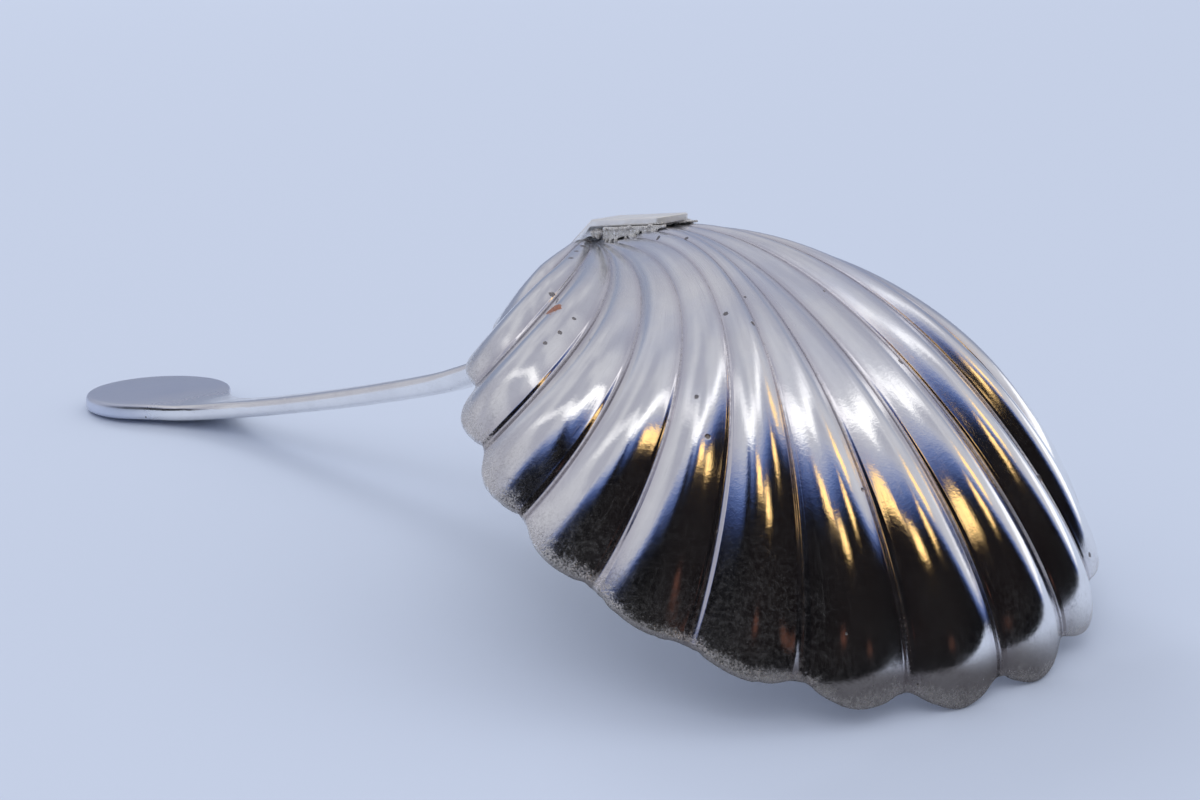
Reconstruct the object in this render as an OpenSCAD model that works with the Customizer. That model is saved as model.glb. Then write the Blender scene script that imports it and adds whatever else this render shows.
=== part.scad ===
// Sugar spoon lying face down: a fluted shell bowl, a one-piece strip handle
// and the run of solder that joins them. X runs along the spoon towards the
// front of the bowl, Y across it, Z up from the table.

/* [Bowl] */
// width of the rim, from groove to groove
bowl_w = 55.4; // [46:0.2:66]
// distance from the middle of the rim to its front
bowl_half_len = 26.6; // [24:0.2:33]
// number of flutes round the rim
flute_count = 20; // [14:2:26]
// height of a flute as a share of its width, on the lower half of the bowl
flute_share = 0.135; // [0.09:0.005:0.15]
// share of that height which a flute already has at the beak
flute_start = 0.65; // [0.5:0.05:1]
// how square a flute's section is, where 2 is a plain arch
flute_square = 2; // [2:0.5:4]
// how round the valley between two flutes is, where 0.1 is nearly sharp
valley_round = 0.5; // [0.1:0.1:0.8]
// how far each flute stands below the grooves at the rim
flute_drop = 1.1; // [0.2:0.1:1.4]
// thickness of the silver sheet
sheet_t = 0.9; // [0.7:0.1:1.2]
// angle at which the bowl lies, front edge on the table
bowl_tilt = 26.5; // [22:0.1:31]
// how much the rim is drawn in at the sides
rim_draw = 0.7; // [0:0.1:2]
// how much the widest place moves towards the front
rim_lead = 1.35; // [0:0.05:2.5]
// how far the sides of the rim rise above its front
rim_rise = 0.5; // [0:0.05:1]

/* [Beak] */
// distance from the middle of the rim back to the beak
beak_back = 26.8; // [25:0.2:29]
// height of the beak above the rim
beak_h = 4.9; // [3:0.1:6]
// half width of the place where the ribs start
beak_half_w = 3; // [2:0.1:4]
// length of the place where the ribs start
beak_len = 0.6; // [0.4:0.1:1]

/* [Ribs] */
// length of the first pull of a rib at the front
pull_front = 23.3; // [18:0.1:28]
// the same, a third of the way round
pull_fore = 34.5; // [28:0.1:40]
// the same, two thirds of the way round
pull_aft = 5.1; // [3:0.1:9]
// the same at the back
pull_back = -11.5; // [-14:0.5:1]
// shortest pull that a rib may have
pull_least = 0.5; // [0.3:0.1:1.5]
// angle at which a rib leaves the beak at the front
rise_front = 54.5; // [46:0.1:60]
// the same, a third of the way round
rise_fore = 39; // [32:0.1:46]
// the same, two thirds of the way round
rise_aft = 14.6; // [8:0.1:22]
// the same at the back
rise_back = -10; // [-25:1:5]
// angle by which the ribs at the sides turn outwards as they leave the beak
side_turn = 24; // [14:0.1:30]
// how much more the ribs behind the middle turn than those ahead of it
late_turn = 4; // [2:0.2:6]
// height of the steep wall above the rim at the front
wall_front = 7.4; // [4:0.1:10]
// the same, a third of the way round
wall_fore = 2.2; // [1.5:0.1:5]
// the same, two thirds of the way round
wall_aft = 9.9; // [6:0.1:13]
// the same at the back
wall_back = 3; // [2:0.1:6]
// how far the wall leans in at the front
lean_front = 0.7; // [-0.5:0.1:3]
// the same, a third of the way round
lean_fore = 3.1; // [0:0.1:5]
// the same, two thirds of the way round
lean_aft = 4.3; // [0:0.1:6]
// the same at the back
lean_back = 0; // [-0.5:0.1:1]

/* [Handle] */
// width of the strip
strip_w = 3.6; // [3:0.1:5]
// length of the tongue that lies on the bowl
tongue_len = 8.9; // [8:0.1:11]
// radius of the corners at the tongue's end
tip_corner_r = 0.6; // [0.3:0.1:1]
// thickness of the tongue
tongue_t = 0.65; // [0.5:0.05:0.9]
// angle at which the tongue climbs
tongue_rise = 9.4; // [8:0.1:12]
// distance from the beak to the fold, towards the front
fold_ahead = -0.1; // [-0.5:0.1:0.6]
// length of the straight drop after the fold
drop_len = 5; // [4:0.1:6]
// angle of that drop
drop_slope = 42; // [38:0.5:44]
// thickness of the strip on the drop
drop_t = 0.75; // [0.6:0.05:1]
// thickness of the stem at its thickest
stem_t = 2.1; // [1.6:0.1:2.6]
// distance from the fold back to the bend of the stem
bend_back = 21.3; // [19:0.1:27]
// height of the stem's upper face at the bend
bend_z = 13.9; // [12:0.1:16]
// slope of the stem at the bend
bend_slope = 21; // [16:1:25]
// distance from the fold back to the neck of the disc
neck_back = 65.4; // [55:0.1:80]
// distance over which the stem levels out before the disc
level_len = 7.1; // [5:0.1:12]
// distance over which the stem keeps its slope after the bend
ease_len = 6; // [4:0.5:9]
// how far below the fold the stem starts to sweep back
sweep_down = 8.3; // [6:0.1:10]
// how far behind the drop the sweep stands
sweep_back = 1.4; // [0.8:0.1:2.5]

/* [Disc] */
// diameter of the disc at the end of the handle
disc_d = 15.8; // [13:0.1:19]
// thickness of the disc
disc_t = 1.68; // [1.3:0.02:2.2]
// angle at which the disc lifts towards the stem
disc_tilt = 2.6; // [1:0.1:5]
// radius of the hollow corner between stem and disc
neck_r = 24; // [4:1:30]

/* [Solder] */
// space between tongue and bowl at their nearest
solder_gap = 0.3; // [0.2:0.05:0.6]
// share of the strip's width that the solder fills
solder_w_share = 0.94; // [0.6:0.02:0.96]
// gap left between the solder and what it joins
seat_gap = 0.05; // [0.02:0.01:0.08]

/* [Hidden] */
half_turn = 180;
full_turn = 360;
right_angle = 90;
facets_per_flute = 6;
facets_down = 16;
round_steps = facets_per_flute * flute_count;
nudge_angle = 0.05;
nudge_share = 0.0005;
drop_power = 6;
beak_fade_share = 0.9;
rim_fade_share = 0.2;
fade_power = 30;
grow_from = 0.25;
grow_over = 0.35;
back_turn_power = 4;
pull_softness = 3;
inner_blend_share = 0.3;
curve_steps = 20;
thin_share = 0.2;
disc_steps = 64;
fillet_steps = 12;
tip_steps = 12;
solder_rows = 16;
solder_cols = 8;
probe_angle = 9;
search_steps = 20;
half_w = bowl_w / 2;
strip_half = strip_w / 2;
disc_r = disc_d / 2;
silver = [0.8, 0.8, 0.82];
solder_grey = [0.72, 0.72, 0.72];

// a smooth value round the bowl through the four given ones, where c is the
// cosine of the angle from the front
function round_value(front, fore, aft, back, c) =
    front * (c + 1) * (c + 1 / 2) * (c - 1 / 2) * 2 / 3
    - fore * (c + 1) * (c - 1) * (c + 1 / 2) * 4 / 3
    + aft * (c + 1) * (c - 1) * (c - 1 / 2) * 4 / 3
    - back * (c - 1) * (c + 1 / 2) * (c - 1 / 2) * 2 / 3;

function soft_floor(value, floor_value, softness) =
    floor_value + (value - floor_value + sqrt(pow(value - floor_value, 2) + pow(softness, 2))) / 2;

function unit(v) = v / norm(v);
function smooth_step(x) = let (k = min(1, max(0, x))) k * k * (3 - 2 * k);
function curve_point(p0, p1, p2, p3, t) =
    pow(1 - t, 3) * p0 + 3 * pow(1 - t, 2) * t * p1 + 3 * (1 - t) * t * t * p2 + t * t * t * p3;
function curve_slope(p0, p1, p2, p3, t) =
    pow(1 - t, 2) * (p1 - p0) + 2 * (1 - t) * t * (p2 - p1) + t * t * (p3 - p2);

// the rib at angle phi in the bowl's own frame, where the rim is level
function rim_point(phi) = [
    bowl_half_len * cos(phi) + rim_draw * (cos(2 * phi) - 1),
    half_w * sin(phi) + rim_lead * sin(2 * phi),
    rim_rise * pow(sin(phi), 2)
];
function rib_turn(phi) =
    let (fan = side_turn * sin(phi) - late_turn * sin(2 * phi))
    fan + (phi - fan) * pow(max(0, -cos(phi)), back_turn_power);
function beak_point(phi) = [
    beak_len / 2 * (cos(rib_turn(phi)) - 1) - beak_back,
    beak_half_w * sin(rib_turn(phi)),
    beak_h
];
function pull_vector(phi) =
    let (c = cos(phi))
    let (reach = soft_floor(round_value(pull_front, pull_fore, pull_aft, pull_back, c), pull_least, pull_softness))
    let (rise = round_value(rise_front, rise_fore, rise_aft, rise_back, c))
    let (turn = rib_turn(phi))
    reach * [cos(rise) * cos(turn), cos(rise) * sin(turn), sin(rise)];
function wall_point(phi) =
    let (c = cos(phi))
    let (wall = round_value(wall_front, wall_fore, wall_aft, wall_back, c))
    let (lean = round_value(lean_front, lean_fore, lean_aft, lean_back, c))
    rim_point(phi) + [-lean * cos(phi), -lean * sin(phi), wall];
function rib_point(phi, t) =
    curve_point(beak_point(phi), beak_point(phi) + pull_vector(phi), wall_point(phi), rim_point(phi), t);

function away(phi, t) =
    let (s = max(t, nudge_share * 4))
    let (here = rib_point(phi, s))
    let (down = here - rib_point(phi, s - nudge_share))
    let (side = rib_point(phi + nudge_angle, s) - here)
    unit(cross(down, side));
function flute_w(phi, t) =
    norm(rib_point(phi + nudge_angle, t) - rib_point(phi, t)) / nudge_angle * full_turn / flute_count;
function round_valley(arch) =
    (sqrt(pow(arch, 2) + pow(valley_round, 2)) - valley_round) / (sqrt(1 + pow(valley_round, 2)) - valley_round);
function flute_bulge(phi, t) =
    let (x = phi * flute_count / full_turn)
    let (f = x - floor(x))
    let (behind = max(0, -cos(phi)))
    round_valley(1 - pow(abs(2 * f - 1), flute_square))
    * (1 - pow(behind, fade_power) * (beak_fade_share + (rim_fade_share - beak_fade_share) * t));
function flute_height(t) =
    flute_share * (flute_start + (1 - flute_start) * smooth_step((t - grow_from) / grow_over));
function outer_point(phi, t) =
    rib_point(phi, t)
    + away(phi, t) * flute_height(t) * flute_w(phi, t) * flute_bulge(phi, t)
    - [0, 0, flute_drop * pow(t, drop_power) * flute_bulge(phi, t)];
hollow_middle = [-bowl_half_len / 5, 0, -bowl_half_len / 5];
function inner_point(phi, t) =
    let (k = smooth_step((t - inner_blend_share) / inner_blend_share))
    let (p = outer_point(phi, t))
    p + sheet_t * unit((1 - k) * unit(hollow_middle - p) - k * away(phi, t));

// turn the bowl to the way it lies on the table, and stand it on the rim
function tilted(p) = [
    bowl_half_len + (p.x - bowl_half_len) * cos(bowl_tilt) + p.z * sin(bowl_tilt),
    p.y,
    p.z * cos(bowl_tilt) - (p.x - bowl_half_len) * sin(bowl_tilt)
];
function step_angle(i) = full_turn * (i > round_steps / 2 ? i - round_steps : i) / round_steps;
rim_low = min([for (i = [0:round_steps - 1]) tilted(outer_point(step_angle(i), 1)).z]);
function laid(p) = tilted(p) - [0, 0, rim_low];

outer_rings = [for (j = [0:facets_down]) [
    for (i = [0:round_steps - 1]) laid(outer_point(step_angle(i), j / facets_down))
]];
inner_rings = [for (j = [0:facets_down]) [
    for (i = [0:round_steps - 1]) laid(inner_point(step_angle(i), j / facets_down))
]];

// the handle's upper face, seen from the side as [x, z]
beak_top = laid(beak_point(0));
fold_x = beak_top.x + fold_ahead;
tongue_run = tongue_len * cos(tongue_rise);
ridge_heights = [for (ring = outer_rings) for (p = ring)
    if (abs(p.y) < strip_half && p.x > fold_x && p.x < fold_x + tongue_run)
        p.z - tan(tongue_rise) * (p.x - fold_x)
];
tongue_under_z = max(ridge_heights) + solder_gap / cos(tongue_rise);
fold = [fold_x, tongue_under_z + tongue_t / cos(tongue_rise)];
tongue_tip = fold + tongue_len * [cos(tongue_rise), sin(tongue_rise)];
drop_end = fold - drop_len * [cos(drop_slope), sin(drop_slope)];
sweep_pull = drop_end - [sweep_back, sweep_down];
bend = [fold.x - bend_back, bend_z];
bend_dir = [cos(bend_slope), sin(bend_slope)];
neck = [fold.x - neck_back, disc_t * cos(disc_tilt) + disc_d * sin(disc_tilt)];
neck_pull = neck + level_len * [1, tan(2 * disc_tilt)];
disc_end = neck - disc_d * [cos(disc_tilt), sin(disc_tilt)];
disc_mid_x = (neck.x + disc_end.x) / 2;

function under(p, dir, t) = p + t * [dir.y, -dir.x] / norm(dir);
sweep_tops = [for (i = [1:curve_steps])
    curve_point(drop_end, sweep_pull, bend + ease_len * bend_dir, bend, i / curve_steps)];
stem_tops = [for (i = [1:curve_steps - 1])
    curve_point(bend, bend - ease_len * bend_dir, neck_pull, neck, i / curve_steps)];
sweep_unders = [for (i = [1:curve_steps])
    let (t = i / curve_steps)
    under(
        curve_point(drop_end, sweep_pull, bend + ease_len * bend_dir, bend, t),
        -curve_slope(drop_end, sweep_pull, bend + ease_len * bend_dir, bend, t),
        drop_t + (stem_t - drop_t) * smooth_step((t - thin_share) / (1 - thin_share))
    )];
stem_unders = [for (i = [1:curve_steps - 1])
    let (t = i / curve_steps)
    under(
        curve_point(bend, bend - ease_len * bend_dir, neck_pull, neck, t),
        -curve_slope(bend, bend - ease_len * bend_dir, neck_pull, neck, t),
        stem_t + (disc_t - stem_t) * t
    )];
tongue_dir = [cos(tongue_rise), sin(tongue_rise)];
drop_dir = [cos(drop_slope), sin(drop_slope)];
disc_dir = [cos(disc_tilt), sin(disc_tilt)];
fold_bend = drop_slope - tongue_rise;
fold_t = (tongue_t + drop_t) / 2;
fold_under = under(fold, tongue_dir, tongue_t) - tan(fold_bend / 2) * fold_t * tongue_dir;
upper_line = concat([tongue_tip, fold, drop_end], sweep_tops, stem_tops, [neck, disc_end]);
lower_line = concat(
    [under(tongue_tip, tongue_dir, tongue_t), fold_under, under(drop_end, drop_dir, drop_t)],
    sweep_unders, stem_unders, [under(neck, disc_dir, disc_t), under(disc_end, disc_dir, disc_t)]
);
side_outline = concat(upper_line, [for (i = [len(lower_line) - 1:-1:0]) lower_line[i]]);

// the handle seen from above as [x, y]
corner_mid_y = strip_half + neck_r;
corner_mid_x = disc_mid_x + sqrt(pow(disc_r + neck_r, 2) - pow(corner_mid_y, 2));
corner_angle = atan2(corner_mid_y, corner_mid_x - disc_mid_x);
tip_mid_x = tongue_tip.x - tip_corner_r;
tip_mid_y = strip_half - tip_corner_r;
plan_half = concat(
    [for (i = [0:disc_steps])
        let (a = half_turn + (corner_angle - half_turn) * i / disc_steps)
        [disc_mid_x + disc_r * cos(a), disc_r * sin(a)]],
    [for (i = [1:fillet_steps])
        let (a = half_turn + corner_angle + (right_angle - corner_angle) * i / fillet_steps)
        [corner_mid_x + neck_r * cos(a), corner_mid_y + neck_r * sin(a)]],
    [for (i = [0:tip_steps])
        let (a = right_angle * (1 - i / tip_steps))
        [tip_mid_x + tip_corner_r * cos(a), tip_mid_y + tip_corner_r * sin(a)]]
);
plan_outline = concat(
    plan_half,
    [for (i = [len(plan_half) - 1:-1:1]) [plan_half[i].x, -plan_half[i].y]]
);

// the frame's origin is under the middle of the whole spoon
front_x = max([for (ring = outer_rings) for (p = ring) p.x]);
centre_x = (front_x + disc_end.x) / 2;
widest = max([for (ring = outer_rings) for (p = ring) p.y]) + disc_d;

// the solder lies between the tongue's under face and the bowl
function ridge_share(x, low, high, n) =
    let (mid = (low + high) / 2)
    n == 0 ? mid
    : laid(rib_point(0, mid)).x < x ? ridge_share(x, mid, high, n - 1)
    : ridge_share(x, low, mid, n - 1);
solder_start = ridge_share(fold.x + 2 * tongue_t, 0, 1 / 2, search_steps);
solder_end = ridge_share(tongue_tip.x - tongue_t, 0, 1 / 2, search_steps);
solder_half = strip_half * solder_w_share;
solder_lift = 3 * seat_gap;
solder_shares = [for (j = [0:solder_rows]) solder_start + (solder_end - solder_start) * j / solder_rows];
function solder_angle(t) = probe_angle * solder_half / laid(outer_point(probe_angle, t)).y;
solder_low = [for (t = solder_shares) [
    for (i = [0:solder_cols])
        laid(outer_point(solder_angle(t) * (2 * i / solder_cols - 1), t)) + [0, 0, solder_lift]
]];
solder_high = [for (row = solder_low) [
    for (p = row) [p.x, p.y, tongue_under_z + tan(tongue_rise) * (p.x - fold.x) - seat_gap]
]];

// numbering of the points in the two meshes
function flat(rows) = [for (row = rows) for (p = row) p];
function ring_at(j, i) = j * round_steps + (i % round_steps);
inner_start = (facets_down + 1) * round_steps;
function row_at(j, i) = j * (solder_cols + 1) + i;
high_start = (solder_rows + 1) * (solder_cols + 1);

module shell_bowl() {
    faces = concat(
        [for (j = [0:facets_down - 1]) for (i = [0:round_steps - 1])
            [ring_at(j, i), ring_at(j, i + 1), ring_at(j + 1, i + 1)]],
        [for (j = [0:facets_down - 1]) for (i = [0:round_steps - 1])
            [ring_at(j, i), ring_at(j + 1, i + 1), ring_at(j + 1, i)]],
        [for (j = [0:facets_down - 1]) for (i = [0:round_steps - 1])
            inner_start * [1, 1, 1] + [ring_at(j, i), ring_at(j + 1, i + 1), ring_at(j, i + 1)]],
        [for (j = [0:facets_down - 1]) for (i = [0:round_steps - 1])
            inner_start * [1, 1, 1] + [ring_at(j, i), ring_at(j + 1, i), ring_at(j + 1, i + 1)]],
        [for (i = [0:round_steps - 1])
            [ring_at(facets_down, i), ring_at(facets_down, i + 1), inner_start + ring_at(facets_down, i)]],
        [for (i = [0:round_steps - 1])
            [ring_at(facets_down, i + 1), inner_start + ring_at(facets_down, i + 1),
                inner_start + ring_at(facets_down, i)]],
        [[for (i = [round_steps - 1:-1:0]) ring_at(0, i)]],
        [[for (i = [0:round_steps - 1]) inner_start + ring_at(0, i)]]
    );
    color(silver)
        translate([-centre_x, 0, 0])
            polyhedron(points = concat(flat(outer_rings), flat(inner_rings)), faces = faces, convexity = 6);
}

module handle() {
    color(silver)
        translate([-centre_x, 0, 0])
            intersection() {
                rotate([right_angle, 0, 0])
                    linear_extrude(height = widest, center = true)
                        polygon(side_outline);
                linear_extrude(height = widest)
                    polygon(plan_outline);
            }
}

module solder_fillet() {
    faces = concat(
        [for (j = [0:solder_rows - 1]) for (i = [0:solder_cols - 1])
            [row_at(j, i), row_at(j + 1, i), row_at(j + 1, i + 1)]],
        [for (j = [0:solder_rows - 1]) for (i = [0:solder_cols - 1])
            [row_at(j, i), row_at(j + 1, i + 1), row_at(j, i + 1)]],
        [for (j = [0:solder_rows - 1]) for (i = [0:solder_cols - 1])
            high_start * [1, 1, 1] + [row_at(j, i), row_at(j + 1, i + 1), row_at(j + 1, i)]],
        [for (j = [0:solder_rows - 1]) for (i = [0:solder_cols - 1])
            high_start * [1, 1, 1] + [row_at(j, i), row_at(j, i + 1), row_at(j + 1, i + 1)]],
        [for (j = [0:solder_rows - 1])
            [row_at(j, 0), high_start + row_at(j + 1, 0), row_at(j + 1, 0)]],
        [for (j = [0:solder_rows - 1])
            [row_at(j, 0), high_start + row_at(j, 0), high_start + row_at(j + 1, 0)]],
        [for (j = [0:solder_rows - 1])
            [row_at(j, solder_cols), row_at(j + 1, solder_cols), high_start + row_at(j + 1, solder_cols)]],
        [for (j = [0:solder_rows - 1])
            [row_at(j, solder_cols), high_start + row_at(j + 1, solder_cols), high_start + row_at(j, solder_cols)]],
        [for (i = [0:solder_cols - 1]) [row_at(0, i), row_at(0, i + 1), high_start + row_at(0, i + 1)]],
        [for (i = [0:solder_cols - 1]) [row_at(0, i), high_start + row_at(0, i + 1), high_start + row_at(0, i)]],
        [for (i = [0:solder_cols - 1])
            [row_at(solder_rows, i), high_start + row_at(solder_rows, i + 1), row_at(solder_rows, i + 1)]],
        [for (i = [0:solder_cols - 1])
            [row_at(solder_rows, i), high_start + row_at(solder_rows, i), high_start + row_at(solder_rows, i + 1)]]
    );
    color(solder_grey)
        translate([-centre_x, 0, 0])
            polyhedron(points = concat(flat(solder_low), flat(solder_high)), faces = faces, convexity = 4);
}

shell_bowl();
handle();
solder_fillet();
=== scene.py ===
import math

import bpy
import numpy as np
from mathutils import Matrix, Vector


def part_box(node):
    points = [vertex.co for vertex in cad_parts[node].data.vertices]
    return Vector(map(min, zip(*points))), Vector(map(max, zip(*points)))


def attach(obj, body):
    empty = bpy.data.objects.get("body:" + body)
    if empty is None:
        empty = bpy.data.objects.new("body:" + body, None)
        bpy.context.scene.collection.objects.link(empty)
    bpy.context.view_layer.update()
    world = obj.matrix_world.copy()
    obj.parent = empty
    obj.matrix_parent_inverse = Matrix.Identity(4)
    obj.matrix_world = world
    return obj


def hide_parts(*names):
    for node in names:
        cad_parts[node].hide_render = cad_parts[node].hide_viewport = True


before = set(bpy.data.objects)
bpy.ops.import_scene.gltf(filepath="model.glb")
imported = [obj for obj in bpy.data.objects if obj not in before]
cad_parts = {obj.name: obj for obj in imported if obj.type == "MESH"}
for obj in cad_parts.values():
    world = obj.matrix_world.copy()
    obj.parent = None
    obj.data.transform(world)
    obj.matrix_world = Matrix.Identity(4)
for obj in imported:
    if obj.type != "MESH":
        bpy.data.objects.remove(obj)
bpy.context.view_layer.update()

MM = 0.001
rng = np.random.default_rng(20)

# Sizes of the spoon in mm, the same as in the part's source
BOWL_W = 55.4
BOWL_HALF_LEN = 26.6
FLUTES = 20
FLUTE_SHARE = 0.135
FLUTE_START = 0.65
FLUTE_SQUARE = 2
VALLEY_ROUND = 0.5
FLUTE_DROP = 1.1
SHEET_T = 0.9
BOWL_TILT = math.radians(26.5)
RIM_DRAW, RIM_LEAD, RIM_RISE = 0.7, 1.35, 0.5
BEAK_BACK, BEAK_H, BEAK_HALF_W, BEAK_LEN = 26.8, 4.9, 3.0, 0.6
SIDE_TURN, LATE_TURN = 24.0, 4.0
PULL_LEAST, PULL_SOFTNESS = 0.5, 3.0

# The ribs at the front, a third and two thirds of the way round, and at the back
PULL = (23.3, 34.5, 5.1, -11.5)
RISE = (54.5, 39.0, 14.6, -10.0)
WALL = (7.4, 2.2, 9.9, 3.0)
LEAN = (0.7, 3.1, 4.3, 0.0)

# How the flutes grow from the beak down, and fade at the heel
GROW_FROM, GROW_OVER = 0.25, 0.35
FADE_POWER, BEAK_FADE, RIM_FADE = 30, 0.9, 0.2

# The hollow side lies a sheet's thickness from the back: towards this middle near the beak, and square
# to the back further down
HOLLOW_FROM, HOLLOW_OVER = 0.3, 0.3
HOLLOW_MIDDLE = np.array([-BOWL_HALF_LEN / 5, 0, -BOWL_HALF_LEN / 5])

# Small steps for slopes on the surface: degrees round, and shares of the way down
TURN_STEP, DOWN_STEP, FIRST_DOWN = 0.05, 0.0005, 0.002


# The surface of the bowl
def ramp(value, start, length):
    """0 before start, 1 past start + length, and an even rise between them."""
    return np.clip((value - start) / length, 0, 1)


def eased(value, start, length):
    """As ramp, but smooth at both ends."""
    k = ramp(value, start, length)
    return k * k * (3 - 2 * k)


def soft_floor(value, low, soft):
    """The value, bent smoothly so that it stays above low."""
    return low + (value - low + np.sqrt((value - low) ** 2 + soft ** 2)) / 2


def round_value(four, c):
    """A smooth value round the bowl that takes the four at c = 1, 1/2, -1/2 and -1."""
    front, fore, aft, back = four
    return (front * (c + 1) * (c + 0.5) * (c - 0.5) * 2 / 3
            - fore * (c + 1) * (c - 1) * (c + 0.5) * 4 / 3
            + aft * (c + 1) * (c - 1) * (c - 0.5) * 4 / 3
            - back * (c - 1) * (c + 0.5) * (c - 0.5) * 2 / 3)


def rib(phi, t):
    """The groove line at angle phi, in degrees, at share t of the way from beak to rim."""
    a = np.radians(phi)
    c, s = np.cos(a), np.sin(a)
    rim = np.stack([BOWL_HALF_LEN * c + RIM_DRAW * (np.cos(2 * a) - 1),
                    BOWL_W / 2 * s + RIM_LEAD * np.sin(2 * a), RIM_RISE * s * s], -1)
    fan = SIDE_TURN * s - LATE_TURN * np.sin(2 * a)
    turn = np.radians(fan + (phi - fan) * np.maximum(0, -c) ** 4)
    beak = np.stack([BEAK_LEN / 2 * (np.cos(turn) - 1) - BEAK_BACK,
                     BEAK_HALF_W * np.sin(turn), BEAK_H + 0 * c], -1)
    reach = soft_floor(round_value(PULL, c), PULL_LEAST, PULL_SOFTNESS)[:, None]
    rise = np.radians(round_value(RISE, c))
    start = np.stack([np.cos(rise) * np.cos(turn), np.cos(rise) * np.sin(turn), np.sin(rise)], -1)
    pull = beak + reach * start
    lean = round_value(LEAN, c)
    wall = rim + np.stack([-lean * c, -lean * s, round_value(WALL, c)], -1)
    t = t[:, None]
    return (1 - t) ** 3 * beak + 3 * (1 - t) ** 2 * t * pull + 3 * (1 - t) * t * t * wall + t ** 3 * rim


def away(phi, t):
    """The direction square to the surface, outwards."""
    t = np.maximum(t, FIRST_DOWN)
    here = rib(phi, t)
    down = here - rib(phi, t - DOWN_STEP)
    side = rib(phi + TURN_STEP, t) - here
    out = np.cross(down, side)
    return out / np.linalg.norm(out, axis=-1, keepdims=True)


def flute_bulge(phi, t):
    """How far a flute stands out across its width, 0 in the valleys and 1 on the crest."""
    f = phi * FLUTES / 360
    f = f - np.floor(f)
    arch = 1 - np.abs(2 * f - 1) ** FLUTE_SQUARE
    arch = np.sqrt(arch ** 2 + VALLEY_ROUND ** 2) - VALLEY_ROUND
    arch = arch / (math.hypot(1, VALLEY_ROUND) - VALLEY_ROUND)
    behind = np.maximum(0, -np.cos(np.radians(phi)))
    return arch * (1 - behind ** FADE_POWER * (BEAK_FADE + (RIM_FADE - BEAK_FADE) * t))


def flute_height(t):
    """The height of a flute's crest as a share of the flute's width."""
    return FLUTE_SHARE * (FLUTE_START + (1 - FLUTE_START) * eased(t, GROW_FROM, GROW_OVER))


def outer_place(phi, t):
    """A point on the bowl's back, in mm from the middle of the rim."""
    flute_w = np.linalg.norm(rib(phi + TURN_STEP, t) - rib(phi, t), axis=-1) / TURN_STEP * 360 / FLUTES
    bulge = flute_bulge(phi, t)
    place = rib(phi, t) + away(phi, t) * (flute_height(t) * flute_w * bulge)[:, None]
    place[:, 2] -= FLUTE_DROP * t ** 6 * bulge
    return place


def inner_place(phi, t):
    """The hollow side, a sheet's thickness in: towards the middle near the beak, and square to the
    surface further down."""
    k = eased(t, HOLLOW_FROM, HOLLOW_OVER)[:, None]
    place = outer_place(phi, t)
    inward = HOLLOW_MIDDLE - place
    inward /= np.linalg.norm(inward, axis=-1, keepdims=True)
    step = (1 - k) * inward - k * away(phi, t)
    return place + SHEET_T * step / np.linalg.norm(step, axis=-1, keepdims=True)


def tilted(place):
    """The bowl as it lies, turned about the front of its rim."""
    x, y, z = place[:, 0] - BOWL_HALF_LEN, place[:, 1], place[:, 2]
    c, s = math.cos(BOWL_TILT), math.sin(BOWL_TILT)
    return np.stack([BOWL_HALF_LEN + x * c + z * s, y, z * c - x * s], -1)


# The bowl's place: its rim on the table, and its front where the CAD has it
TRY_STEP, TRY_ROWS = 3.0, 17
try_angles = np.arange(-180, 180, TRY_STEP)
rim_tried = tilted(outer_place(try_angles, np.ones(len(try_angles))))
rows_tried = np.tile(np.linspace(0, 1, TRY_ROWS), len(try_angles))
back_tried = tilted(outer_place(np.repeat(try_angles, TRY_ROWS), rows_tried))
bowl_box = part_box("shell_bowl")
RIM_LOW = rim_tried[:, 2].min()
SHIFT_X = bowl_box[1].x / MM - back_tried[:, 0].max()


def laid(place):
    """From the bowl's own frame to the table, in metres."""
    return (tilted(place) + np.array([SHIFT_X, 0, -RIM_LOW])) * MM


# Small helpers for modelling. Points closer than this, in mm, are one point
GRID_DOUBLES, CAD_DOUBLES = 0.001, 0.002


def nothing_selected():
    if bpy.context.object and bpy.context.object.mode != "OBJECT":
        bpy.ops.object.mode_set(mode="OBJECT")
    bpy.ops.object.select_all(action="DESELECT")


def pick(obj):
    nothing_selected()
    obj.select_set(True)
    bpy.context.view_layer.objects.active = obj


def edit(obj, kind="VERT"):
    pick(obj)
    bpy.ops.object.mode_set(mode="EDIT")
    bpy.ops.mesh.select_mode(type=kind)


def done():
    bpy.ops.object.mode_set(mode="OBJECT")


def points_of(obj):
    co = np.empty(len(obj.data.vertices) * 3)
    obj.data.vertices.foreach_get("co", co)
    return co.reshape(-1, 3)


def set_points(obj, co):
    obj.data.vertices.foreach_set("co", np.ascontiguousarray(co, dtype=np.float32).ravel())
    obj.data.update()


def select_points(obj, chosen):
    """Object mode. Leaves only the chosen points, and what lies between them, selected."""
    obj.data.polygons.foreach_set("select", np.zeros(len(obj.data.polygons), bool))
    obj.data.edges.foreach_set("select", np.zeros(len(obj.data.edges), bool))
    obj.data.vertices.foreach_set("select", np.asarray(chosen, bool))
    obj.data.update()


def select_open_edges(obj):
    edit(obj, "EDGE")
    bpy.ops.mesh.select_all(action="DESELECT")
    bpy.ops.mesh.select_non_manifold()


def merge_points(obj, apart_mm, chosen=None):
    """Merges the points that lie closer than this, all over or among the chosen ones."""
    if chosen is not None:
        select_points(obj, chosen)
    edit(obj)
    if chosen is None:
        bpy.ops.mesh.select_all(action="SELECT")
    bpy.ops.mesh.remove_doubles(threshold=apart_mm * MM)
    done()


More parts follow.
